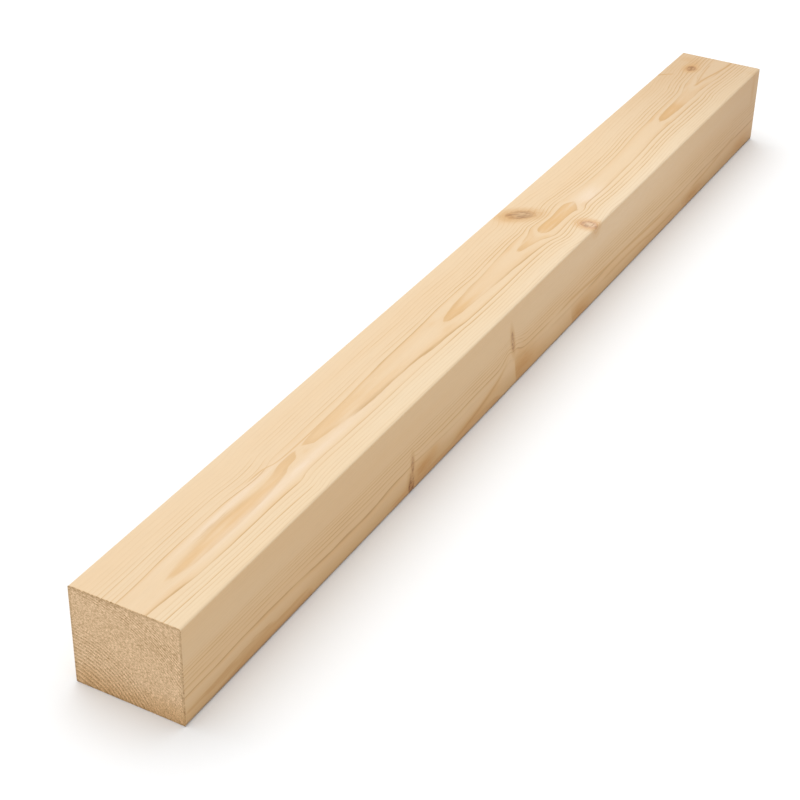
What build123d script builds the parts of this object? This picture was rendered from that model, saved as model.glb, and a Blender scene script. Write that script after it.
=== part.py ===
from build123d import *
import os

# A short length of planed softwood timber, lying on one of its two wide faces.
# X runs along the grain, Y across the wide faces and Z up from the resting face.
# The origin is the middle of the resting face.

# Sizes of the planed stick, in millimetres
length = 610.0
width = 50.0
thickness = 46.0

# The planer eases the four long edges, and the cross-cut ends stay crisp
arris_radius = 1.2


def planed_section():
    """Cross-section of the stick on the YZ plane, standing on Y with its foot at Z = 0."""
    outline = RectangleRounded(width, thickness, arris_radius)
    return Plane.YZ * Pos(0, thickness / 2) * outline


def timber_batten():
    """The whole stick: one planed section run along the grain, cut square at both ends."""
    return extrude(planed_section(), amount=length / 2, both=True)


batten = timber_batten()
batten.label = "timber_batten"

os.makedirs("parts", exist_ok=True)
export_step(batten, "parts/timber_batten.step")

print("timber_batten size:", batten.bounding_box().size)
print("timber_batten volume in cubic centimetres:", round(batten.volume / 1000, 2))
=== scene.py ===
import math

import bpy
from bpy.props import FloatProperty, FloatVectorProperty, IntProperty, PointerProperty
from mathutils import Matrix, Vector


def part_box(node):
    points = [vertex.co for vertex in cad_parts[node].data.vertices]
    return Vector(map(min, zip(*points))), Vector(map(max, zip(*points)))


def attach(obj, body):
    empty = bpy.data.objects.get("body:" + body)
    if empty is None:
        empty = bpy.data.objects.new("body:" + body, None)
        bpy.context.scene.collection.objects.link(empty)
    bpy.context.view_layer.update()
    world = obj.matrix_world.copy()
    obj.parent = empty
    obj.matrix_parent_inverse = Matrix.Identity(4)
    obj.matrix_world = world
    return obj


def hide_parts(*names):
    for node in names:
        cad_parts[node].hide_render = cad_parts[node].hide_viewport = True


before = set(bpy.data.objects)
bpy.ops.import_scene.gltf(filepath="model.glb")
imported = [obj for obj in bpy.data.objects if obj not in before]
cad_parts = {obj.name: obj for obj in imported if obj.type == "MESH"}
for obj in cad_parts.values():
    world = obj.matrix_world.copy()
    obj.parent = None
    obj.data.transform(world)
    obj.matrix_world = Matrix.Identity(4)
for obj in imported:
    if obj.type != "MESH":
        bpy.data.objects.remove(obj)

bl_info = {
    "name": "Planed Softwood Batten",
    "version": (1, 0, 0),
    "blender": (4, 5, 0),
    "location": "View3D > Sidebar > Timber",
    "description": "Builds a planed softwood batten with growth rings, knots and sawn ends",
    "category": "Object",
}

# The batten as the frame gives it, in metres: X along the grain, Y across, Z up from its foot
NODE = "timber_batten"
LOW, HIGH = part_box(NODE)
LENGTH, WIDTH, THICKNESS = HIGH - LOW
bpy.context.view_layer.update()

# Wood rules are worked in millimetres from the near end, the middle of the width and the foot
MM = 0.001
NEAR_END = LOW.x / MM
HALF_WIDTH = WIDTH / MM / 2
TOP = HIGH.z / MM

# The pith runs along the grain outside the section, below and left. This many rings lie between it
# and the rim, and the power makes them narrower outwards
PITH_Y, PITH_Z = 29.0, -18.0
RIM_RADIUS = 84.0
RINGS_TO_RIM = 53.0
RIM_POWER = 1.66
# The upper and the right face have rings of their own, which hold down to the first depth. At the
# second they have given way to the rings of the inside
FULL_SKIN, SKIN = 0.3, 1.5
# Arcs of the sawn ends are stretched out straight at this distance from the pith
MIDDLE_RADIUS = 50.0

# Along the grain the rings sink: distance from the near end in millimetres, ring level
RING_LEVELS = (
    (0, 0.14), (15, 0.03), (35, -0.26), (75, -0.34), (95, -0.24), (116, -0.12), (135, -0.27),
    (190, -0.6), (232, -0.93), (239, -1.03), (248, -1.23), (275, -1.42), (314, -1.94), (325, -2.16),
    (336, -2.4), (343, -2.96), (350, -3.35), (376, -3.38), (386, -2.96), (412, -2.8), (470, -2.82),
    (502, -2.97), (511, -3.18), (545, -3.42), (565, -3.93), (574, -4.2), (584, -4.6), (610, -4.9),
)
# The ridge of the rings under the upper face wanders: distance from the near end, place across
RIDGE_PATH = (
    (0, -4.3), (30, -4.5), (75, -4.8), (106, -1.9), (116, -1.6), (127, -1.6), (190, -2.2), (232, -3.2),
    (275, -3.4), (320, -2.4), (345, -3.4), (384, -3.6), (420, -5.0), (490, -2.6), (545, -2.4),
    (568, -0.6), (610, -1.0),
)
# Rings met on the way across from the ridge: distance towards the left arris, rings
ACROSS_RINGS = (
    (-34, 14.5), (-24, 10.0), (-17, 6.0), (-12.5, 3.5), (-10, 2.25), (-7.3, 1.2), (-5, 0.62),
    (-2.7, 0.2), (0, 0), (2.7, 0.22), (5.2, 0.72), (7.5, 1.7), (9.5, 2.7), (13.5, 4.7), (18, 6.9),
    (24, 9.6), (34, 14.0),
)

# How much further the rings stand off on the left and on the right of the ridge, so that they run
# straight where the ridge steps: distance from the near end, millimetres
LEFT_STAND_OFF = (
    (0, 2.4), (66, 2.3), (108, 0.0), (150, 0.2), (200, 1.5), (240, 1.8), (290, 0.4), (330, 0.0),
    (610, 0.0),
)
RIGHT_STAND_OFF = (
    (0, 0.0), (72, 0.0), (106, 3.0), (130, 3.2), (190, 2.4), (232, 1.6), (300, 1.2), (350, 0.4),
    (420, 0.0), (610, 0.0),
)
# Distances from the ridge where this begins and where it is full
LEFT_FADE, RIGHT_FADE = (2.0, 6.5), (-1.5, -9.5)

# On the right face: height, rings met on the way up
UP_RINGS = (
    (-4, 0.05), (0, 0.08), (4, 0.14), (8, 0.3), (11, 0.55), (14, 1.0), (17.3, 2.0), (20, 3.0),
    (22, 4.0), (24, 5.0), (27.5, 7.0), (32, 10.0), (40, 15.0), (50, 21.0),
)
# On the right face: distance from the near end, rings more or less
SIDE_LEVELS = (
    (0, -0.12), (50, -0.2), (85, -0.12), (125, 0.12), (165, -0.1), (205, 0.02), (240, -0.08),
    (285, 0.1), (330, 0.05), (400, -0.1), (480, 0.12), (560, -0.02), (610, 0.05),
)
# The rings of the right face are numbered from here on
SIDE_START = 20.0

# Waves in the rings: sizes of their features, detail, roughness, then how far they move the ring
# level along the ridge and how much further away from it
WAVES = {
    "drift": ((120.0, 10.0, 10.0), 1.0, 0.5, 0.12, 0.45),
    "ripple": ((24.0, 2.6, 2.6), 2.0, 0.5, 0.05, 0.07),
    "feather": ((13.0, 0.8, 0.8), 2.0, 0.6, 0.045, 0.0),
}
# The ridge is calm up to the first distance from it, and past the second the waves are full
CALM_RIDGE = (4.0, 9.0)
# Rings start to lie open at the first distance from the ridge or height on the right face, and are
# fully open at the second
OPEN_RIDGE, OPEN_HEIGHT = (7.0, 3.0), (12.0, 6.0)

# Places where the ring level dips: distance from the near end, across, up, reach along, reach
# across and depth
DIPS = {
    "pale wedge": (118.5, -3.6, 46.0, 4.0, 2.3, -0.45),
    "blunt edge": (236.0, -3.2, 46.0, 3.0, 4.0, -0.08),
    "small loop": (377.5, -10.5, 46.0, 5.0, 2.4, 0.5),
    "hill at the high knot": (270.0, -25.0, 24.5, 10.0, 8.0, 2.3),
}

# Soft amber or pale places: distance from the near end, across, up, reach along, reach across and
# strength, which is negative where it is pale. Two more numbers give the place and the slant of a
# crisp start
STAINS = {
    "core of the third arch": (515.0, -1.8, 46.0, 5.0, 2.4, 0.6),
    "core of the second arch": (250.0, -3.4, 46.0, 11.0, 2.7, 0.6),
    "foot of the blob": (349.5, -2.8, 46.0, 4.5, 3.2, 0.45),
    "tail of the far knot": (592.5, 11.8, 46.0, 10.0, 3.2, 0.85),
    "edge by the far knot": (601.0, 17.5, 46.0, 4.0, 5.0, 0.4),
    "halo of the spike knot": (350.0, 18.0, 46.0, 6.5, 6.0, 0.65),
    "pale before the step": (70.0, 1.5, 46.0, 35.0, 1.6, -0.6),
    "pale past the blob": (396.0, -7.0, 46.0, 11.0, 4.5, -0.7),
    "pale under the lens": (100.0, -8.5, 46.0, 60.0, 2.2, -0.6),
    "foot of the low knot": (172.0, -25.0, 2.5, 4.5, 3.5, 0.7),
    "right of the low knot": (184.0, -25.0, 8.0, 13.0, 5.0, 0.95, 174.5, 0.1),
    "red by the low knot": (193.0, -25.0, 10.5, 3.5, 2.0, 0.5),
    "left of the low knot": (166.0, -25.0, 2.0, 7.0, 3.0, 0.5),
    "streak rising": (232.0, -25.0, 5.0, 17.0, 3.4, 0.55),
    "streak risen": (252.0, -25.0, 9.5, 10.0, 2.6, 0.45),
    "past the high knot": (284.0, -25.0, 8.5, 13.0, 7.5, 1.0, 275.0, 0.25),
    "corner past it": (279.0, -25.0, 10.0, 6.0, 7.0, 0.7, 275.0, 0.25),
    "fading past it": (298.0, -25.0, 5.0, 12.0, 4.0, 0.4),
    "second on the side": (350.0, -25.0, 4.5, 13.0, 5.5, 0.9, 341.0, 0.3),
    "third on the side": (508.0, -25.0, 5.0, 16.0, 4.0, 0.75, 492.0, 0.6),
    "last on the side": (588.0, -25.0, 6.0, 14.0, 5.0, 0.65),
    "streak at the far end": (601.0, -25.0, 36.0, 2.5, 9.0, 0.6),
    "pale high on the side": (400.0, -25.0, 38.0, 105.0, 9.0, -0.42),
    "warm far left arris": (565.0, 22.0, 46.0, 60.0, 6.0, 0.22),
}

# How dark each ring ends, from the innermost that shows on the upper face outwards, then on the
# right face from the lowest
RING_WEIGHTS = (
    (-7, 0.5), (-5, 0.6), (-4, 0.95), (-3, 1.0), (-2, 1.0), (-1, 0.95), (0, 0.95), (1, 0.9), (2, 0.35),
    (3, 0.3), (4, 0.5), (5, 0.3), (6, 0.25), (7, 0.15), (8, 0.08), (17, 0.08), (18, 0.3), (19, 0.5),
    (20, 0.9), (21, 0.95), (22, 0.7), (23, 0.85), (24, 0.65), (25, 0.75), (26, 0.6), (27, 0.5),
    (28, 0.2), (30, 0.1), (40, 0.1),
)

# Rings whose dark end is stronger or weaker along the grain: distance from the near end, share
RING_CHANGES = {
    1: ((0, 1.0), (95, 1.0), (102, 0.45), (200, 0.5), (240, 0.9), (610, 0.9)),
    4: ((0, 1.6), (96, 1.6), (103, 0.5), (610, 0.7)),
    21: ((0, 1.0), (165, 1.0), (182, 0.6), (205, 0.25), (330, 0.25), (365, 1.0), (407, 1.0), (450, 0.8),
         (610, 0.8)),
    22: ((0, 0.6), (190, 0.7), (205, 1.7), (325, 1.7), (345, 0.7), (610, 0.7)),
}

# Each knot: distance from the near end, across, up, half length, half breadth, turn from the
# grain in degrees, swing of the grain along and across it in knot radii, darkness, redness
KNOTS = {
    "spike knot": (356.5, 13.8, 46.0, 7.6, 4.4, -45.0, 1.5, 1.7, 0.6, 0.0),
    "edge knot": (365.0, -20.8, 46.0, 3.8, 3.8, 0.0, 2.6, 1.7, 0.5, 1.0),
    "far knot": (588.0, 11.0, 46.0, 4.2, 2.8, 0.0, 2.0, 1.4, 0.55, 0.1),
    "low side knot": (172.0, -25.0, 4.5, 2.6, 5.0, 0.0, 2.4, 1.1, 0.8, 0.0),
    "top of the low knot": (172.8, -25.0, 14.0, 1.3, 4.2, 6.0, 2.4, 1.1, 0.5, 0.2),
    "high side knot": (270.5, -25.0, 26.5, 1.4, 5.4, 20.0, 2.4, 1.2, 0.52, 0.15),
}
# How deep a knot goes, and what share of the way round it the grain swings
KNOT_DEPTH = 10.0
KNOT_SWING = 0.6

# How strongly the open late wood along the ridge shows: distance from the near end, share
RIDGE_AMBER = (
    (0, 0.1), (12, 0.2), (22, 0.6), (60, 0.75), (92, 0.65), (110, 0.65), (150, 0.55), (190, 0.3),
    (228, 0.2), (238, 0.85), (258, 0.8), (290, 0.2), (316, 0.3), (321, 0.75), (332, 0.6), (341, 0.4),
    (347, 1.0), (368, 0.9), (382, 0.75), (390, 0.4), (430, 0.2), (495, 0.2), (507, 1.0), (530, 0.9),
    (550, 0.35), (564, 0.5), (571, 0.6), (577, 0.25), (584, 0.1), (610, 0.1),
)

# Dark lines drawn one by one. On the upper face, points of distance from the near end and place
# across, on the right face of distance and height, then how long they fade in and out, half
# breadth and strength
DRAWN_ABOVE = {
    "step": (
        ((84, 4.1), (95, 3.9), (100, 3.2), (106, 1.7), (114, 1.25), (145, 1.3), (175, 2.4), (205, 3.6)),
        10.0, 0.8, 0.7,
    ),
    "lower arm of the last arch": (
        ((562, -0.6), (570, -1.2), (578, -2.2), (590, -4.6), (600, -6.3), (611, -7.4)), 5.0, 1.4, 0.9,
    ),
    "upper arm of the last arch": (((565, -0.8), (576, 0.8), (588, 2.3), (602, 3.2)), 6.0, 1.1, 0.6),
    "mark at the left edge": (((566, 26.0), (569, 23.0), (572, 20.0), (575, 16.0)), 1.5, 1.8, 0.9),
}
DRAWN_RIGHT = {
    "streak to the high knot": (
        ((205, 3.0), (222, 5.0), (238, 7.6), (252, 11.0), (262, 15.0), (267, 20.0), (270, 26.0)),
        14.0, 2.6, 0.75,
    ),
    "streak past the second patch": (
        ((322, 17.0), (350, 16.2), (378, 14.6), (410, 13.8), (440, 12.4), (478, 11.0)),
        22.0, 1.9, 0.75,
    ),
    "low streak in the middle": (
        ((372, 7.6), (395, 8.6), (425, 8.0), (455, 6.0), (490, 5.4)), 16.0, 1.9, 0.6,
    ),
    "streak towards the far end": (
        ((500, 9.4), (530, 10.6), (560, 13.4), (582, 16.5)), 16.0, 1.8, 0.6,
    ),
}

# Edges of the mesh that turn by less than this are shaded as one smooth surface
SHARP_TURN = math.radians(35.0)
# Strokes of the saw across the ends: sizes of their features in millimetres
SAW_STROKES = (30.0, 14.0, 0.9)

# Floor, lamp and camera. The camera looks along the batten from one end
FLOOR_ROUGHNESS = 0.9
FLOOR_SPECULAR = 0.1
LAMP_PLACE = Vector((0.2, 0.46, 2.0))
LAMP_SIDE = 2.2
SENSOR_WIDTH = 36.0
CAMERA_PLACE = Vector((-0.6995, -0.3222, 0.4557))
CAMERA_AZIMUTH = math.radians(28.21)
CAMERA_DIP = math.radians(32.52)
CAMERA_ROLL = math.radians(1.43)


class Wires:
    """Adds nodes to one tree and joins them. A number or a socket may feed any input."""

    def __init__(self, tree):
        self.tree = tree

    def feed(self, socket, value):
        if isinstance(value, bpy.types.NodeSocket):
            self.tree.links.new(value, socket)
        elif value is not None:
            socket.default_value = value

    def node(self, kind, inputs=(), **settings):
        made = self.tree.nodes.new(kind)
        for name, value in settings.items():
            setattr(made, name, value)
        for name, value in dict(inputs).items():
            self.feed(made.inputs[name], value)
        return made

    def math(self, operation, *values):
        made = self.node("ShaderNodeMath", operation=operation)
        for socket, value in zip(made.inputs, values):
            self.feed(socket, value)
        return made.outputs[0]

    def add(self, *values):
        total = values[0]
        for value in values[1:]:
            total = self.math("ADD", total, value)
        return total

    def times(self, *values):
        total = values[0]
        for value in values[1:]:
            total = self.math("MULTIPLY", total, value)
        return total

    def less(self, a, b):
        return self.math("SUBTRACT", a, b)

    def vector(self, operation, a, b=None, scale=None):
        made = self.node("ShaderNodeVectorMath", operation=operation)
        self.feed(made.inputs[0], a)
        if b is not None:
            self.feed(made.inputs[1], b)
        if scale is not None:
            self.feed(made.inputs["Scale"], scale)
        gives_number = operation in ("LENGTH", "DOT_PRODUCT")
        return made.outputs["Value" if gives_number else "Vector"]

    def split(self, vector):
        x, y, z = self.node("ShaderNodeSeparateXYZ", {"Vector": vector}).outputs
        return x, y, z

    def join(self, x, y, z):
        return self.node("ShaderNodeCombineXYZ", {"X": x, "Y": y, "Z": z}).outputs[0]

    def fade(self, value, start, end):
        """0 before start, 1 past end and smooth between, also where end is below start."""
        low, high, first = (start, end, 0.0) if start < end else (end, start, 1.0)
        return self.node("ShaderNodeMapRange", {
            "Value": value, "From Min": low, "From Max": high, "To Min": first, "To Max": 1.0 - first,
        }, interpolation_type="SMOOTHSTEP").outputs[0]

    def path(self, along, points):
        """A smooth curve through (distance, value) points."""
        span = points[-1][0] - points[0][0]
        values = [value for _, value in points]
        low, high = min(values), max(values)
        made = self.node("ShaderNodeFloatCurve")
        curve = made.mapping.curves[0]
        while len(curve.points) < len(points):
            curve.points.new(0.5, 0.5)
        for spot, (distance, value) in zip(curve.points, points):
            spot.location = ((distance - points[0][0]) / span, (value - low) / (high - low))
            spot.handle_type = "AUTO"
        made.mapping.update()
        self.feed(made.inputs["Value"], self.math("DIVIDE", self.less(along, points[0][0]), span))
        return self.add(self.times(made.outputs[0], high - low), low)

    def noise(self, place, stretch, detail=2.0, roughness=0.5):
        """Noise from -1 to 1 whose features have the sizes in stretch along X, Y and Z."""
        scaled = self.vector("DIVIDE", place, stretch)
        made = self.node("ShaderNodeTexNoise", {
            "Vector": scaled, "Scale": 1.0, "Detail": detail, "Roughness": roughness})
        return self.add(self.times(made.outputs[0], 2.0), -1.0)

    def mix(self, factor, a, b):
        made = self.node("ShaderNodeMix", data_type="FLOAT")
        for socket, value in zip(made.inputs[:1] + made.inputs[2:4], (factor, a, b)):
            self.feed(socket, value)
        return made.outputs[0]

    def blend(self, factor, a, b, way="MIX"):
        made = self.node("ShaderNodeMix", data_type="RGBA", blend_type=way)
        for socket, value in zip(made.inputs[:1] + made.inputs[6:8], (factor, a, b)):
            self.feed(socket, value)
        return made.outputs[2]


def open_group(name, kind, inputs, outputs):
    """A new node group with its interface, and its input and output nodes."""
    tree = bpy.data.node_groups.new(name, kind)
    for label, socket in inputs:
        tree.interface.new_socket(label, in_out="INPUT", socket_type=socket)
    for label, socket in outputs:
        tree.interface.new_socket(label, in_out="OUTPUT", socket_type=socket)
    wires = Wires(tree)
    return tree, wires, wires.node("NodeGroupInput"), wires.node("NodeGroupOutput")


def from_pith(wires, y, z):
    """Sideways and upwards from the pith to a place, and how far it is from it."""
    side, rise = wires.less(y, PITH_Y), wires.less(z, PITH_Z)
    radius = wires.math("SQRT", wires.add(wires.times(side, side), wires.times(rise, rise)))
    return side, rise, radius


def bell(wires, vector):
    """1 in the middle, and falling smoothly to nothing past a length of about 1 or 2."""
    square = wires.vector("DOT_PRODUCT", vector, vector)
    return wires.math("EXPONENT", wires.times(square, -1.0))


def knot_place(wires, place, knot):
    """Offset from the middle of a knot along its length and across it, in knot radii."""
    along, across, up, half_length, half_breadth, turn = knot[:6]
    centre = (along + NEAR_END, across, up)
    branch = Vector((0.0, across - PITH_Y, up - PITH_Z)).normalized()
    grain = Vector((1.0, 0.0, 0.0))
    aside = branch.cross(grain)
    angle = math.radians(turn)
    lengthways = math.cos(angle) * grain + math.sin(angle) * aside
    sideways = math.cos(angle) * aside - math.sin(angle) * grain
    offset = wires.vector("SUBTRACT", place, centre)
    shares = []
    for way, reach in ((lengthways, half_length), (sideways, half_breadth), (branch, KNOT_DEPTH)):
        shares.append(wires.times(wires.vector("DOT_PRODUCT", offset, way), 1.0 / reach))
    return offset, wires.join(*shares)


def dip_depth(wires, place, dip):
    """How far the ring level sinks at a place for one dip."""
    along, across, up, reach_along, reach_across, depth = dip
    offset = wires.vector("SUBTRACT", place, (along + NEAR_END, across, up))
    scaled = wires.vector("DIVIDE", offset, (reach_along, reach_across, reach_across))
    return wires.times(bell(wires, scaled), depth)


def stain_strength(wires, place, along, stain):
    """How strongly one soft place colours the wood."""
    strength = dip_depth(wires, place, stain[:6])
    if len(stain) > 6:
        start, slant = stain[6:]
        _, _, z = wires.split(place)
        slanted = wires.add(along, wires.times(wires.less(z, stain[2]), slant))
        strength = wires.times(strength, wires.fade(slanted, start - 0.3, start + 0.9))
    return strength


def drawn_line(wires, along, height, stroke):
    """Distance from a drawn line in half breadths, and how strongly it shows along its length."""
    points, ramp, breadth, strength = stroke
    aside = wires.math("ABSOLUTE", wires.less(height, wires.path(along, points)))
    start, end = points[0][0], points[-1][0]
    presence = wires.times(wires.fade(along, start, start + ramp), wires.fade(along, end, end - ramp))
    return wires.times(aside, 1.0 / breadth), wires.times(presence, strength)


def ring_rule(kind):
    """Group that gives the ring level of a place: whole numbers are where a ring ends."""
    tree, wires, given, result = open_group(
        "Growth Rings", kind,
        [("Place", "NodeSocketVector")],
        [("Level", "NodeSocketFloat"), ("Openness", "NodeSocketFloat")],
    )
    place = given.outputs[0]
    pull = None
    for knot in KNOTS.values():
        offset, spot = knot_place(wires, place, knot)
        wide = wires.vector("DIVIDE", spot, (knot[6], knot[7], 1.0))
        move = wires.vector("SCALE", offset, scale=bell(wires, wide))
        pull = move if pull is None else wires.vector("ADD", pull, move)
    pull = wires.vector("MULTIPLY", pull, (0.0, KNOT_SWING, KNOT_SWING))
    place = wires.vector("SUBTRACT", place, pull)
    x, y, z = wires.split(place)
    along = wires.less(x, NEAR_END)

    _, _, radius = from_pith(wires, y, z)
    share = wires.math("POWER", wires.math("DIVIDE", radius, RIM_RADIUS), RIM_POWER)
    level = wires.path(along, RING_LEVELS)
    inner = wires.add(wires.times(share, RINGS_TO_RIM), level)

    ridge = wires.less(y, wires.path(along, RIDGE_PATH))
    on_left = wires.times(wires.path(along, LEFT_STAND_OFF), wires.fade(ridge, *LEFT_FADE))
    on_right = wires.times(wires.path(along, RIGHT_STAND_OFF), wires.fade(ridge, *RIGHT_FADE))
    stand_off = wires.less(on_left, on_right)
    upper = wires.add(level, wires.path(wires.less(ridge, stand_off), ACROSS_RINGS))
    right = wires.add(wires.path(z, UP_RINGS), wires.path(along, SIDE_LEVELS), SIDE_START)
    top_skin = wires.fade(z, TOP - SKIN, TOP - FULL_SKIN)
    right_skin = wires.fade(y, SKIN - HALF_WIDTH, FULL_SKIN - HALF_WIDTH)
    right_skin = wires.times(right_skin, wires.less(1.0, top_skin))
    level = wires.mix(right_skin, wires.mix(top_skin, inner, upper), right)
    for dip in DIPS.values():
        level = wires.less(level, dip_depth(wires, place, dip))

    # The waves are lower along the ridge, and about a third as lively inside the wood
    from_ridge = wires.math("ABSOLUTE", ridge)
    lively = wires.fade(from_ridge, *CALM_RIDGE)
    lively = wires.mix(wires.math("MAXIMUM", top_skin, right_skin), 0.35, lively)
    for stretch, detail, roughness, least, more in WAVES.values():
        reach = wires.add(wires.times(lively, more), least)
        level = wires.add(level, wires.times(wires.noise(place, stretch, detail, roughness), reach))

    open_top = wires.times(wires.fade(from_ridge, *OPEN_RIDGE), top_skin)
    open_right = wires.times(wires.fade(z, *OPEN_HEIGHT), right_skin)
    wires.feed(result.inputs[0], level)
    wires.feed(result.inputs[1], wires.add(open_top, open_right))
    return tree


def batten_tree(finish):
    """Geometry Nodes tree of the batten: a closed grid, eased, with raised grain and saw marks."""
    inputs = [
        ("Length", "NodeSocketFloat"), ("Width", "NodeSocketFloat"), ("Thickness", "NodeSocketFloat"),
        ("Arris Radius", "NodeSocketFloat"), ("End Easing", "NodeSocketFloat"),
        ("Grain Relief", "NodeSocketFloat"), ("Saw Relief", "NodeSocketFloat"),
        ("Lengthways Cuts", "NodeSocketInt"), ("Width Cuts", "NodeSocketInt"),
        ("Thickness Cuts", "NodeSocketInt"), ("Finish", "NodeSocketMaterial"),
    ]
    tree, wires, given, result = open_group(
        "Batten Shape", "GeometryNodeTree", inputs, [("Batten", "NodeSocketGeometry")])
    value = {socket.name: socket for socket in given.outputs}
    size = wires.join(value["Length"], value["Width"], value["Thickness"])
    block = wires.node("GeometryNodeMeshCube", {
        "Size": size, "Vertices X": value["Lengthways Cuts"], "Vertices Y": value["Width Cuts"],
        "Vertices Z": value["Thickness Cuts"]})
    place = wires.node("GeometryNodeInputPosition").outputs[0]
    x, y, z = wires.split(place)
    half_length = wires.times(value["Length"], 0.5)
    half_width = wires.times(value["Width"], 0.5)
    half_thickness = wires.times(value["Thickness"], 0.5)

    # The last ring of points before each end moves out to where the easing starts
    step = wires.math("DIVIDE", value["Length"], wires.less(value["Lengthways Cuts"], 1.0))
    reach = wires.math("ABSOLUTE", x)
    from_end = wires.less(half_length, reach)
    last_ring = wires.math("COMPARE", from_end, step, wires.times(step, 0.5))
    on_end = wires.math("LESS_THAN", from_end, wires.times(step, 0.5))
    moved = wires.mix(last_ring, reach, wires.less(half_length, value["End Easing"]))

    # The long arrises are rounds about lines that lie one radius in from two faces
    inner_y = wires.less(half_width, value["Arris Radius"])
    inner_z = wires.less(half_thickness, value["Arris Radius"])
    low = wires.join(0.0, wires.times(inner_y, -1.0), wires.times(inner_z, -1.0))
    high = wires.join(0.0, inner_y, inner_z)
    core = wires.vector("MINIMUM", wires.vector("MAXIMUM", wires.join(0.0, y, z), low), high)
    outward = wires.vector("NORMALIZE", wires.vector("SUBTRACT", wires.join(0.0, y, z), core))
    skin = wires.vector("ADD", core, wires.vector("SCALE", outward, scale=value["Arris Radius"]))
    _, skin_y, skin_z = wires.split(skin)
    eased = wires.times(on_end, wires.math("DIVIDE", value["End Easing"], half_width))
    draw_in = wires.less(1.0, eased)
    flat_y = wires.mix(on_end, skin_y, wires.times(y, draw_in))
    flat_z = wires.mix(on_end, skin_z, wires.times(z, draw_in))
    shaped_x = wires.times(moved, wires.math("SIGN", x))

    # Grain stands up along the late wood, and the saw leaves curved strokes across the ends
    plain = wires.join(shaped_x, flat_y, wires.add(flat_z, half_thickness))
    in_mm = wires.vector("SCALE", plain, scale=1.0 / MM)
    rings = wires.node("GeometryNodeGroup", {}, node_tree=ring_rule("GeometryNodeTree"))
    wires.feed(rings.inputs[0], in_mm)
    phase = wires.math("FRACT", rings.outputs[0])
    sunk = wires.times(wires.less(1.0, phase), value["Grain Relief"])
    strokes = wires.noise(in_mm, SAW_STROKES, 1.0)
    sawn = wires.times(wires.add(strokes, 1.0), value["Saw Relief"], 0.5)
    depth = wires.mix(on_end, sunk, sawn)
    side_depth = wires.times(wires.less(1.0, on_end), depth, -1.0)
    end_depth = wires.times(on_end, depth, wires.math("SIGN", x), -1.0)
    inward = wires.vector("ADD", wires.vector("SCALE", outward, scale=side_depth),
                          wires.join(end_depth, 0.0, 0.0))
    shaped = wires.node("GeometryNodeSetPosition", {
        "Geometry": block.outputs["Mesh"], "Position": wires.vector("ADD", plain, inward)})

    smooth = wires.node("GeometryNodeSetShadeSmooth", {"Geometry": shaped.outputs[0]}, domain="FACE")
    angle = wires.node("GeometryNodeInputMeshEdgeAngle").outputs[0]
    sharp = wires.node("GeometryNodeSetShadeSmooth", {
        "Geometry": smooth.outputs[0], "Shade Smooth": wires.math("LESS_THAN", angle, SHARP_TURN),
    }, domain="EDGE")
    real = wires.node("GeometryNodeRealizeInstances", {"Geometry": sharp.outputs[0]})
    dressed = wires.node("GeometryNodeSetMaterial", {
        "Geometry": real.outputs[0], "Material": value["Finish"]})
    wires.feed(result.inputs[0], dressed.outputs[0])
    return tree


def knot_colour(wires, place, knot, wood, colours):
    """Paints one knot over the wood: curled grain about it, then its body and its dark cracks."""
    along, across = knot[:2]
    darkness, redness = knot[8:10]
    _, spot = knot_place(wires, place, knot)
    distance = wires.vector("LENGTH", wires.vector("MULTIPLY", spot, (1.0, 1.0, 0.6)))
    ragged = wires.add(distance, wires.times(wires.noise(place, (3.0, 1.6, 1.6), 4.0, 0.65), 0.5))
    bent = wires.times(wires.noise(place, (9.0, 4.0, 4.0), 0.0), 0.9)
    curl = wires.math("FRACT", wires.add(wires.times(distance, 2.8), bent))
    curl = wires.times(wires.fade(curl, 0.3, 0.85), wires.fade(curl, 1.0, 0.85))
    about = wires.times(wires.fade(distance, 2.4, 1.1), wires.fade(ragged, 0.7, 1.0))
    curls = wires.add(wires.times(curl, 0.3 + 0.3 * redness), 0.35)
    wood = wires.blend(wires.times(about, curls), wood, colours.latewood)

    # The tint is strongest in the body, with a darker rim and a paler heart where the knot is red
    tone = wires.blend(redness, colours.knot_brown, colours.knot_red)
    halo = wires.times(wires.fade(ragged, 2.2, 0.9), 0.15 + 0.3 * darkness)
    wood = wires.blend(halo, wood, tone, "MULTIPLY")
    body = wires.fade(ragged, 1.3, 0.6)
    heart = wires.add(1.0, wires.times(wires.fade(distance, 0.8, 0.1), -0.8 * redness))
    wood = wires.blend(wires.times(body, heart, 0.15 + 0.45 * darkness), wood, tone, "MULTIPLY")
    rim = wires.times(body, wires.fade(ragged, 0.4, 0.85), wires.fade(ragged, 1.25, 1.0))
    wood = wires.blend(wires.times(rim, darkness * 0.9), wood, tone, "MULTIPLY")

    # Cracks run along the knot, and its place in the wood makes each knot's different
    strands = wires.vector("MULTIPLY", spot, (0.9, 3.0, 1.0))
    strands = wires.vector("ADD", strands, (along, across, 0.0))
    crack = wires.noise(strands, (1.0, 1.0, 1.0), 2.0, 0.55)
    crack = wires.times(wires.fade(crack, -0.1, 0.28), wires.fade(distance, 1.15, 0.6))
    return wires.blend(wires.times(crack, darkness), wood, colours.knot_crack, "MULTIPLY")


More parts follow.
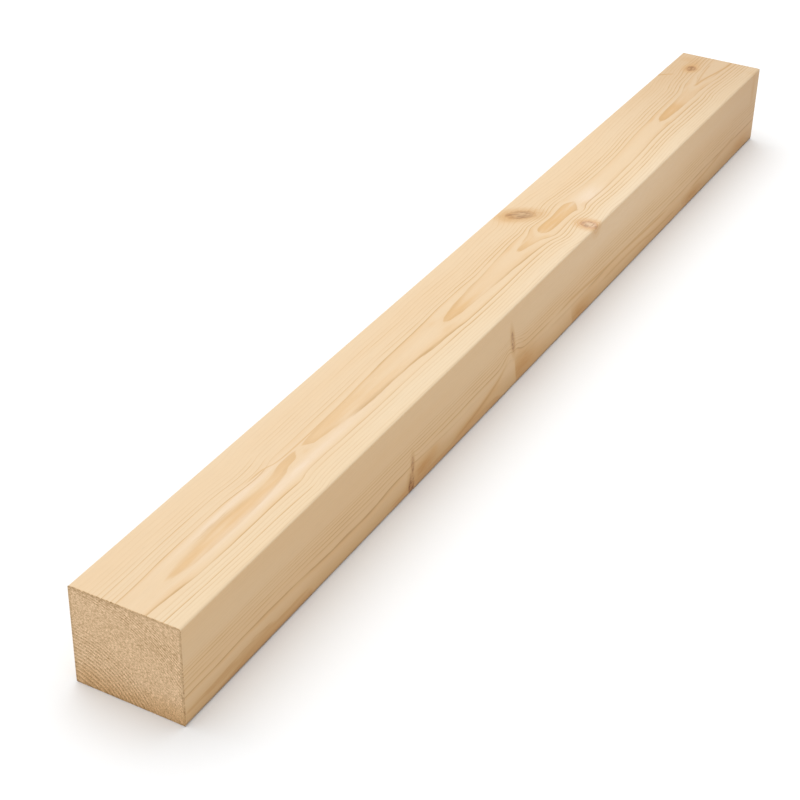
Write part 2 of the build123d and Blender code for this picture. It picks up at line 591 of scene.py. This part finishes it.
def ring_marks(wires, place, level, openness):
    """How much late wood lies at a place, and how strongly its amber and its dark line show."""
    x, y, z = wires.split(place)
    along = wires.less(x, NEAR_END)
    phase = wires.math("FRACT", level)
    ring = wires.math("CEIL", level)

    # Late wood darkens towards the end of each ring and stops sharply, more softly before the step
    soft = wires.times(wires.fade(along, 104.0, 96.0), wires.fade(z, TOP - 1.0, TOP))
    open_end = wires.mix(soft, wires.fade(phase, 1.0, 0.94), wires.fade(phase, 1.0, 0.86))
    crisp = wires.mix(openness, wires.fade(phase, 1.0, 0.93), open_end)
    late = wires.mix(openness, wires.fade(phase, 0.35, 1.0), wires.fade(phase, 0.2, 0.6))
    late = wires.times(late, crisp)

    # Each ring has a weight of its own, which changes along the grain and is patchy
    weight = wires.path(ring, RING_WEIGHTS)
    for number, change in RING_CHANGES.items():
        same = wires.math("COMPARE", ring, float(number), 0.1)
        weight = wires.times(weight, wires.mix(same, 1.0, wires.path(along, change)))
    patchy = wires.noise(place, (30.0, 3.2, 3.2), 1.0)
    weight = wires.times(weight, wires.add(1.0, wires.times(patchy, 1.4)))
    weight = wires.math("MINIMUM", wires.math("MAXIMUM", weight, 0.05), 1.0)
    on_top = wires.fade(z, TOP - SKIN, TOP - FULL_SKIN)
    shown = wires.mix(on_top, 0.6, wires.path(along, RIDGE_AMBER))
    amber = wires.mix(openness, wires.times(weight, 0.7), wires.times(weight, shown))
    amber = wires.times(late, amber)
    line = wires.mix(openness, 0.85, wires.times(shown, 0.3))
    line = wires.times(wires.fade(phase, 0.72, 0.97), crisp, weight, line)

    # The drawn lines join in, each on its own face
    above = wires.fade(z, TOP - 2.0, TOP - 0.5)
    to_side = wires.fade(y, 6.0 - HALF_WIDTH, 1.0 - HALF_WIDTH)
    below = wires.times(wires.less(1.0, above), to_side)
    for drawn, height, face in ((DRAWN_ABOVE, y, above), (DRAWN_RIGHT, z, below)):
        for stroke in drawn.values():
            aside, presence = drawn_line(wires, along, height, stroke)
            presence = wires.times(presence, face)
            broad = wires.times(presence, wires.fade(aside, 1.0, 0.0))
            amber = wires.math("MAXIMUM", amber, broad)
            narrow = wires.times(presence, wires.fade(aside, 0.5, 0.0), 0.45)
            line = wires.math("MAXIMUM", line, narrow)
    return late, amber, line


def long_wood(wires, place, foot, tint, marks, colours):
    """Colour along the grain without fibres and knots: rings, stains, face tints and painted shade."""
    x, y, z = wires.split(place)
    along = wires.less(x, NEAR_END)
    _, amber, line = marks
    wood = wires.blend(wires.fade(tint, -0.5, 0.5), colours.earlywood, colours.earlywood_warm)
    to_right = wires.times(wires.fade(y, -6.0, -19.0), wires.fade(z, TOP - 1.2, TOP - 0.2))
    wood = wires.blend(to_right, wood, colours.right_tint, "MULTIPLY")
    wood = wires.blend(amber, wood, colours.latewood)
    mottle = wires.add(1.0, wires.times(wires.noise(place, (9.0, 1.5, 1.5), 3.0, 0.6), 0.7))
    for stain in STAINS.values():
        strength = wires.times(stain_strength(wires, place, along, stain), mottle)
        tone = colours.latewood if stain[5] > 0 else colours.pale_streak
        tone = colours.deep_amber if len(stain) > 6 else tone
        wood = wires.blend(wires.math("ABSOLUTE", strength), wood, tone)
    wood = wires.blend(line, wood, colours.ring_line)

    # Painted shade: every face but the top is tinted warmer and darker, the sides darken towards the
    # floor, and a painted contact shadow runs along their lower arrises. The lowest tints stay off the
    # resting face
    sides = wires.fade(wires.math("ABSOLUTE", y), HALF_WIDTH - 1.6, HALF_WIDTH - 0.4)
    for strength, tone in (
        (wires.fade(z, TOP - 0.2, TOP - 1.2), colours.painted_side_shade),
        (wires.fade(along, 430.0, 640.0), colours.far_tint),
        (wires.times(wires.fade(foot, 13.0, 0.0), sides), colours.painted_foot_shade),
        (wires.times(wires.fade(z, 2.4, 0.6), sides), colours.painted_contact_shadow),
    ):
        wood = wires.blend(strength, wood, tone, "MULTIPLY")
    return wood


def end_wood(wires, place, foot, level, colours):
    """Colour of the sawn ends, darkened low down by painted shade, and the fine specks that also stand
    up there.
    """
    x, y, z = wires.split(place)
    phase = wires.math("FRACT", level)
    side, rise, radius = from_pith(wires, y, z)
    turned = wires.times(wires.math("ARCTAN2", rise, side), MIDDLE_RADIUS)
    bent = wires.join(x, radius, turned)
    speck = wires.noise(bent, (2.0, 0.4, 0.6), 1.0, 0.7)
    tear = wires.noise(bent, (3.0, 0.9, 2.0), 3.0, 0.75)

    # Rings show as arcs near the pith and again far out from it, and are torn away here and there
    inner_arcs = wires.fade(radius, 50.0, 41.0)
    outer_arcs = wires.times(wires.fade(radius, 60.0, 64.0), wires.fade(radius, 78.0, 70.0), 0.85)
    zone = wires.times(wires.add(inner_arcs, outer_arcs), wires.fade(tear, -0.5, 0.35))
    arc = wires.times(wires.fade(phase, 0.1, 0.75), wires.fade(phase, 1.0, 0.85))
    arc = wires.less(wires.times(arc, 1.4), 0.5)
    from_edge = wires.math("MINIMUM", wires.less(HALF_WIDTH, wires.math("ABSOLUTE", y)), z)
    from_edge = wires.math("MINIMUM", from_edge, wires.less(TOP, z))
    rim = wires.fade(wires.add(from_edge, wires.times(tear, 0.8)), 1.6, 0.2)
    wood = wires.blend(rim, colours.end_grain, colours.end_rim)
    mark = wires.add(wires.times(speck, 0.86), wires.times(tear, 0.13), wires.times(arc, zone, -0.44))
    shades = [wires.add(1.0, wires.times(mark, share)) for share in (0.85, 1.0, 1.3)]
    wood = wires.blend(1.0, wood, wires.join(*shades), "MULTIPLY")
    # Painted shade: the ends darken towards the floor
    return wires.blend(wires.fade(foot, 14.0, 1.0), wood, colours.painted_foot_shade, "MULTIPLY"), speck


def softwood(colours):
    """Material of the batten: rings, knots, fibres and end grain from one ring rule."""
    material = bpy.data.materials.new("bare_softwood")
    material.use_nodes = True
    tree = material.node_tree
    tree.nodes.clear()
    wires = Wires(tree)
    coordinates = wires.node("ShaderNodeTexCoord").outputs["Object"]
    place = wires.vector("SCALE", coordinates, scale=1.0 / MM)
    x, _, z = wires.split(place)
    rings = wires.node("ShaderNodeGroup", {}, node_tree=ring_rule("ShaderNodeTree"))
    wires.feed(rings.inputs[0], place)
    level, openness = rings.outputs
    tint = wires.noise(place, (140.0, 13.0, 13.0), 2.0)
    # An uneven height above the floor, below which the sides and ends darken in painted shade
    foot = wires.add(z, wires.times(tint, 5.0))
    marks = ring_marks(wires, place, level, openness)
    wood = long_wood(wires, place, foot, tint, marks, colours)

    # Fibres run with the grain, and short resin canals darken it here and there
    fibre = wires.noise(place, (9.0, 0.25, 0.25), 3.0, 0.6)
    canal = wires.fade(wires.noise(place, (5.0, 0.35, 0.35), 0.0), 0.62, 0.85)
    shade = wires.add(1.0, wires.times(fibre, 0.08), wires.times(canal, -0.08))
    wood = wires.blend(1.0, wood, wires.join(shade, shade, shade), "MULTIPLY")
    for knot in KNOTS.values():
        wood = knot_colour(wires, place, knot, wood, colours)

    on_end = wires.fade(wires.math("ABSOLUTE", x), -NEAR_END - 0.45, -NEAR_END - 0.2)
    sawn, speck = end_wood(wires, place, foot, level, colours)
    late = marks[0]
    rough = wires.add(0.56, wires.times(late, -0.08), wires.times(fibre, 0.05))
    height = wires.add(wires.times(fibre, 0.012), wires.times(speck, on_end, 0.08))
    bump = wires.node("ShaderNodeBump", {"Strength": 0.5, "Distance": MM, "Height": height})
    shader = wires.node("ShaderNodeBsdfPrincipled", {
        "Base Color": wires.blend(on_end, wood, sawn), "Normal": bump.outputs[0],
        "Roughness": wires.add(rough, wires.times(on_end, 0.2)), "Specular IOR Level": 0.3,
    })
    wires.node("ShaderNodeOutputMaterial", {"Surface": shader.outputs[0]})
    return material


class BattenSizes(bpy.types.PropertyGroup):
    """Sizes of the batten and of its fine relief."""

    length: FloatProperty(name="Length", description="Length along the grain",
                          default=LENGTH, min=0.05, unit="LENGTH")
    width: FloatProperty(name="Width", description="Breadth of the face it lies on",
                         default=WIDTH, min=0.01, unit="LENGTH")
    thickness: FloatProperty(name="Thickness", description="Height of the batten as it lies",
                             default=THICKNESS, min=0.01, unit="LENGTH")
    arris_radius: FloatProperty(name="Arris Radius", description="Round of the four long edges",
                                default=1.2 * MM, min=0.1 * MM, unit="LENGTH", precision=5)
    end_easing: FloatProperty(name="End Easing", description="Bevel of the cross-cut edges",
                              default=0.2 * MM, min=0.05 * MM, unit="LENGTH", precision=5)
    grain_relief: FloatProperty(name="Grain Relief", description="Drop from late wood to early wood",
                                default=0.035 * MM, min=0.0, unit="LENGTH", precision=6)
    saw_relief: FloatProperty(name="Saw Relief", description="Depth of the saw strokes on the ends",
                              default=0.12 * MM, min=0.0, unit="LENGTH", precision=6)
    length_cuts: IntProperty(name="Lengthways Cuts", description="Points along the grain",
                             default=255, min=5)
    width_cuts: IntProperty(name="Width Cuts", description="Points across the width", default=75, min=9)
    thickness_cuts: IntProperty(name="Thickness Cuts", description="Points up the thickness",
                                default=69, min=9)


def colour_property(name, description, default):
    return FloatVectorProperty(name=name, description=description, default=default,
                               subtype="COLOR", size=4, min=0.0, max=2.0)


class WoodColours(bpy.types.PropertyGroup):
    """Colours of the bare softwood."""

    earlywood: colour_property("Early Wood", "Pale wood of a ring", (0.688, 0.532, 0.352, 1))
    earlywood_warm: colour_property("Warm Early Wood", "Where pale wood is warmer",
                                    (0.683, 0.511, 0.323, 1))
    latewood: colour_property("Late Wood", "Amber end of a ring", (0.635, 0.405, 0.187, 1))
    deep_amber: colour_property("Deep Amber", "Amber low on the right side", (0.57, 0.345, 0.14, 1))
    ring_line: colour_property("Ring Line", "Darkest edge of a ring", (0.44, 0.275, 0.115, 1))
    end_grain: colour_property("End Grain", "Ground colour of the sawn ends", (0.685, 0.474, 0.276, 1))
    end_rim: colour_property("End Rim", "Browner rim of the sawn ends", (0.55, 0.37, 0.2, 1))
    knot_brown: colour_property("Brown Knot", "Tint of a dry knot", (0.74, 0.6, 0.44, 1))
    knot_red: colour_property("Red Knot", "Tint of a live knot", (0.8, 0.6, 0.5, 1))
    # Painted shade: every face but the top is tinted warmer and darker than the top
    painted_side_shade: colour_property("Painted Side Shade", "Painted shade that warms and darkens every face but the top",
                                 (0.955, 0.865, 0.735, 1))
    right_tint: colour_property("Right Tint", "Paler wood towards the right side", (1.02, 1.06, 1.1, 1))
    far_tint: colour_property("Far Tint", "Darker wood towards the far end", (0.84, 0.8, 0.765, 1))
    pale_streak: colour_property("Pale Streak", "Palest wood beside an arch", (0.74, 0.61, 0.475, 1))
    # Painted shadow: the contact shadow where the lower arrises meet the floor
    painted_contact_shadow: colour_property("Painted Contact Shadow", "Painted contact shadow along the lower arrises", (0.62, 0.6, 0.6, 1))
    # Painted shade: the sides and ends darken and warm towards the floor
    painted_foot_shade: colour_property("Painted Foot Shade", "Painted shade low on the sides and ends", (0.88, 0.8, 0.67, 1))
    knot_crack: colour_property("Knot Crack", "Tint of dark cracks and bark", (0.4, 0.29, 0.2, 1))


class StageSettings(bpy.types.PropertyGroup):
    """Floor, light and camera."""

    floor_colour: colour_property("Floor", "Pale matt floor", (0.845, 0.866, 0.887, 1))
    floor_size: FloatProperty(name="Floor Size", description="Side of the square floor",
                              default=8.0, unit="LENGTH")
    key_power: FloatProperty(name="Key Power", description="Large soft lamp above the left side",
                             default=32.0, unit="POWER")
    fill: FloatProperty(name="Fill", description="Strength of the light from all round", default=0.765)
    fill_colour: colour_property("Fill Colour", "Light from all round", (1.0, 0.978, 0.957, 1))
    lens: FloatProperty(name="Lens", description="Focal length on a 36 mm sensor", default=80.64,
                        unit="CAMERA")


def link(name, data):
    made = bpy.data.objects.new(name, data)
    bpy.context.scene.collection.objects.link(made)
    return made


class TIMBER_OT_batten(bpy.types.Operator):
    """Build the batten and its wood"""

    bl_idname = "timber.batten"
    bl_label = "Batten"

    def execute(self, context):
        sizes = context.scene.timber_sizes
        finish = softwood(context.scene.timber_colours)
        carrier = link("batten_carrier", bpy.data.meshes.new("batten_carrier"))
        shape = carrier.modifiers.new("Batten Shape", "NODES")
        shape.node_group = batten_tree(finish)
        chosen = {
            "Length": sizes.length, "Width": sizes.width, "Thickness": sizes.thickness,
            "Arris Radius": sizes.arris_radius, "End Easing": sizes.end_easing,
            "Grain Relief": sizes.grain_relief, "Saw Relief": sizes.saw_relief,
            "Lengthways Cuts": sizes.length_cuts, "Width Cuts": sizes.width_cuts,
            "Thickness Cuts": sizes.thickness_cuts, "Finish": finish,
        }
        for item in shape.node_group.interface.items_tree:
            if item.in_out == "INPUT":
                shape[item.identifier] = chosen[item.name]
        seen = carrier.evaluated_get(context.evaluated_depsgraph_get())
        mesh = bpy.data.meshes.new_from_object(seen)
        carrier.modifiers.remove(shape)
        bpy.data.objects.remove(carrier)
        if not mesh.polygons:
            raise RuntimeError("the batten came out empty")
        mesh.name = "planed_batten"
        batten = link("planed_batten", mesh)
        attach(batten, "root")
        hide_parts(NODE)
        return {"FINISHED"}


class TIMBER_OT_stage(bpy.types.Operator):
    """Set the floor, the light and the camera"""

    bl_idname = "timber.stage"
    bl_label = "Stage"

    def execute(self, context):
        stage = context.scene.timber_stage
        self.floor(stage)
        self.light(stage)
        self.camera(stage)
        context.scene.view_settings.view_transform = "Standard"
        return {"FINISHED"}

    def floor(self, stage):
        half = stage.floor_size / 2
        mesh = bpy.data.meshes.new("floor")
        mesh.from_pydata([(-half, -half, 0), (half, -half, 0), (half, half, 0), (-half, half, 0)],
                         [], [(0, 1, 2, 3)])
        material = bpy.data.materials.new("pale_floor")
        material.use_nodes = True
        shader = material.node_tree.nodes["Principled BSDF"]
        shader.inputs["Base Color"].default_value = stage.floor_colour
        shader.inputs["Roughness"].default_value = FLOOR_ROUGHNESS
        shader.inputs["Specular IOR Level"].default_value = FLOOR_SPECULAR
        mesh.materials.append(material)
        link("floor", mesh)

    def light(self, stage):
        world = bpy.data.worlds.new("studio")
        world.use_nodes = True
        sky = world.node_tree.nodes["Background"]
        sky.inputs["Color"].default_value = stage.fill_colour
        sky.inputs["Strength"].default_value = stage.fill
        bpy.context.scene.world = world
        lamp = bpy.data.lights.new("key", "AREA")
        lamp.shape = "SQUARE"
        lamp.size = LAMP_SIDE
        lamp.energy = stage.key_power
        key = link("key", lamp)
        key.location = LAMP_PLACE
        key.rotation_euler = (-LAMP_PLACE).to_track_quat("-Z", "Y").to_euler()

    def camera(self, stage):
        lens = bpy.data.cameras.new("camera")
        lens.sensor_width = SENSOR_WIDTH
        lens.lens = stage.lens
        camera = link("camera", lens)
        ahead = Vector((math.cos(CAMERA_AZIMUTH) * math.cos(CAMERA_DIP),
                        math.sin(CAMERA_AZIMUTH) * math.cos(CAMERA_DIP), -math.sin(CAMERA_DIP)))
        right = ahead.cross(Vector((0, 0, 1))).normalized()
        up = right.cross(ahead)
        rolled_right = math.cos(CAMERA_ROLL) * right + math.sin(CAMERA_ROLL) * up
        rolled_up = math.cos(CAMERA_ROLL) * up - math.sin(CAMERA_ROLL) * right
        turn = Matrix((rolled_right, rolled_up, -ahead)).transposed()
        camera.matrix_world = Matrix.Translation(CAMERA_PLACE) @ turn.to_4x4()
        bpy.context.scene.camera = camera


class TIMBER_PT_panel(bpy.types.Panel):
    """Lists what the file can build"""

    bl_idname = "TIMBER_PT_panel"
    bl_label = "Timber"
    bl_space_type = "VIEW_3D"
    bl_region_type = "UI"
    bl_category = "Timber"

    def draw(self, context):
        layout = self.layout
        for operator, settings in (
            (TIMBER_OT_batten, (context.scene.timber_sizes, context.scene.timber_colours)),
            (TIMBER_OT_stage, (context.scene.timber_stage,)),
        ):
            box = layout.box()
            box.operator(operator.bl_idname)
            for group in settings:
                for name in group.bl_rna.properties.keys():
                    if name not in ("rna_type", "name"):
                        box.prop(group, name)


CLASSES = (BattenSizes, WoodColours, StageSettings, TIMBER_OT_batten, TIMBER_OT_stage, TIMBER_PT_panel)


def register():
    for made in CLASSES:
        bpy.utils.register_class(made)
    bpy.types.Scene.timber_sizes = PointerProperty(type=BattenSizes)
    bpy.types.Scene.timber_colours = PointerProperty(type=WoodColours)
    bpy.types.Scene.timber_stage = PointerProperty(type=StageSettings)


def unregister():
    del bpy.types.Scene.timber_stage
    del bpy.types.Scene.timber_colours
    del bpy.types.Scene.timber_sizes
    for made in reversed(CLASSES):
        bpy.utils.unregister_class(made)


def main():
    register()
    bpy.ops.timber.batten()
    bpy.ops.timber.stage()


if __name__ == "__main__":
    main()
